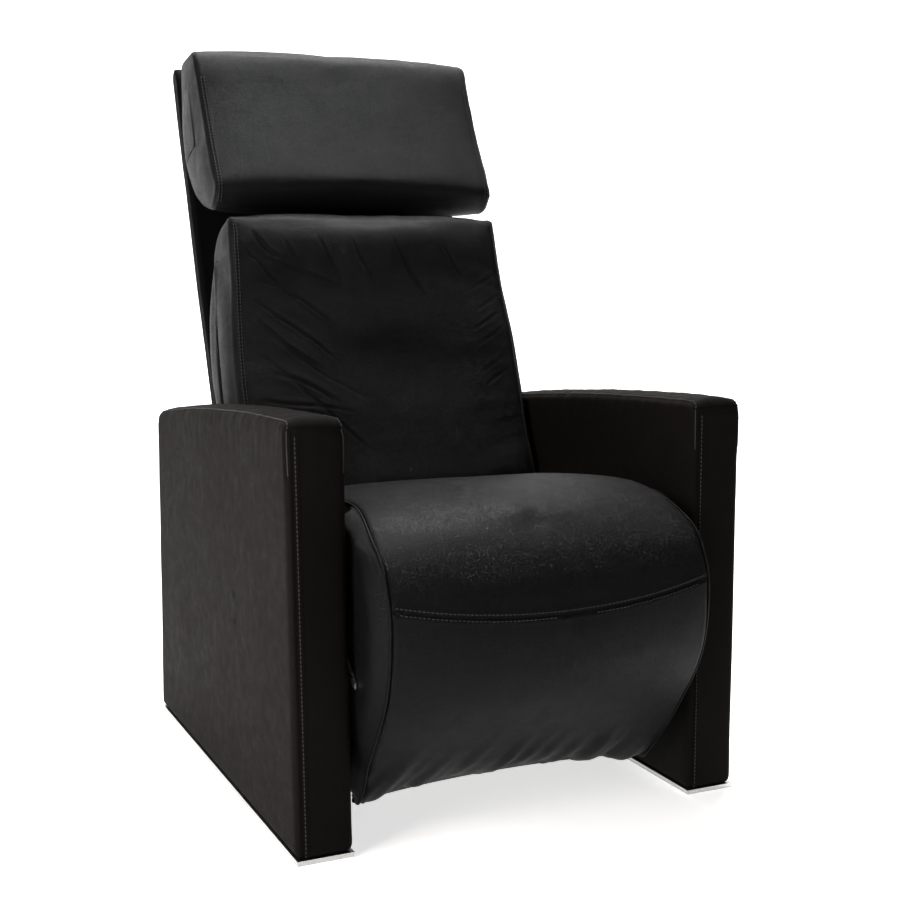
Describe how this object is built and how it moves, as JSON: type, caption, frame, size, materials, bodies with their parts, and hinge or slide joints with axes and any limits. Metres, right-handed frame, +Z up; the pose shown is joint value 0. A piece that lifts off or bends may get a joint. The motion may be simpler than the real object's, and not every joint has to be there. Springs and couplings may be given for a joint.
{
  "type": "reclining armchair",
  "caption": "Leather reclining armchair with box arms on metal floor plates, tilting seat, reclining back, swinging leg rest and tilting head rest.",
  "frame": {"origin": "on the floor under the middle of the chair's box", "axes": "+X to the sitter's left, +Y to the rear, +Z up; a person sits facing -Y"},
  "size_m": [0.7, 1.0519, 1.1553],
  "materials": {
    "black_leather": "satin",
    "foam": "matte",
    "plywood": "matte",
    "black_steel": "satin",
    "zinc_steel": "satin",
    "chrome_rod": "polished",
    "brushed_plate": "satin",
    "black_plastic": "matte",
    "webbing": "matte"
  },
  "bodies": {
    "base": {"left_arm_core": "plywood", "left_arm_foam": "foam", "left_arm_cover": "black_leather", "left_floor_plate": "brushed_plate", "left_side_bracket": "black_steel", "right_arm_core": "plywood", "right_arm_foam": "foam", "right_arm_cover": "black_leather", "right_floor_plate": "brushed_plate", "right_side_bracket": "black_steel", "floor_plate_screws": "zinc_steel", "bracket_bolts": "zinc_steel", "front_cross_tube": "black_steel", "rear_cross_tube": "black_steel", "seat_pivot_pins": "zinc_steel", "link_lower_pins": "zinc_steel", "rear_rail_core": "plywood", "rear_rail_cover": "black_leather"},
    "seat": {"left_seat_plate": "black_steel", "right_seat_plate": "black_steel", "front_seat_rail": "black_steel", "rear_seat_rail": "black_steel", "legrest_pivot_pins": "zinc_steel", "back_pivot_pins": "zinc_steel", "seat_springs": "zinc_steel", "seat_cushion": "foam", "gas_spring_bracket": "black_steel", "gas_spring_front_pin": "zinc_steel", "release_lever_pin": "zinc_steel", "release_cable": "black_plastic"},
    "back": {"left_back_plate": "black_steel", "right_back_plate": "black_steel", "back_frame": "black_steel", "back_cross_bar": "zinc_steel", "link_upper_pins": "zinc_steel", "back_straps": "webbing", "back_panel_cover": "black_leather", "back_cushion": "foam", "left_headrest_arm": "black_steel", "right_headrest_arm": "black_steel", "headrest_pins": "zinc_steel"},
    "headrest": {"headrest_hinge_lugs": "black_steel", "headrest_board": "plywood", "headrest_cushion": "foam"},
    "legrest": {"legrest_board": "plywood", "left_legrest_plate": "black_steel", "right_legrest_plate": "black_steel", "legrest_cushion": "foam"},
    "links": {"left_tilt_link": "zinc_steel", "right_tilt_link": "zinc_steel"},
    "gas_rod": {"gas_spring_rod": "chrome_rod", "gas_spring_piston": "zinc_steel"},
    "gas_barrel": {"gas_spring_barrel": "black_steel"},
    "lever": {"release_lever": "brushed_plate"}
  },
  "joints": [
    {"name": "seat_tilt", "type": "hinge", "parent": "base", "child": "seat", "pos_m": [0, -0.149, 0.3], "axis": [-1, 0, 0], "range_deg": [0, 8]},
    {"name": "back_recline", "type": "hinge", "parent": "seat", "child": "back", "pos_m": [0, 0.101, 0.365], "axis": [-1, 0, 0], "range_deg": [0, 32]},
    {"name": "legrest_swing", "type": "hinge", "parent": "seat", "child": "legrest", "pos_m": [0, -0.502, 0.352], "axis": [-1, 0, 0], "range_deg": [0, 100]},
    {"name": "headrest_tilt", "type": "hinge", "parent": "back", "child": "headrest", "pos_m": [0, 0.311, 0.935], "axis": [1, 0, 0], "range_deg": [0, 30]},
    {"name": "link_swing", "type": "hinge", "parent": "base", "child": "links", "pos_m": [0, 0.12, 0.22], "axis": [1, 0, 0], "range_deg": [0, 12]},
    {"name": "gas_swing", "type": "hinge", "parent": "seat", "child": "gas_rod", "pos_m": [0, -0.285, 0.276], "axis": [1, 0, 0], "range_deg": [0, 3]},
    {"name": "gas_stroke", "type": "slide", "parent": "gas_rod", "child": "gas_barrel", "axis": [0, -0.9988, -0.0492], "range_m": [0, 0.04]},
    {"name": "lever_pull", "type": "hinge", "parent": "seat", "child": "lever", "pos_m": [-0.263, -0.35, 0.3], "axis": [-1, 0, 0], "range_deg": [0, 15], "stiffness_Nm_per_rad": 2}
  ],
  "couplings": [
    {"joint": "seat_tilt", "follows": "back_recline", "ratio": 0.24144},
    {"joint": "link_swing", "follows": "back_recline", "ratio": 0.33764},
    {"joint": "gas_swing", "follows": "back_recline", "ratio": 0.05029},
    {"joint": "gas_stroke", "follows": "back_recline", "m_per_rad": 0.06675}
  ]
}
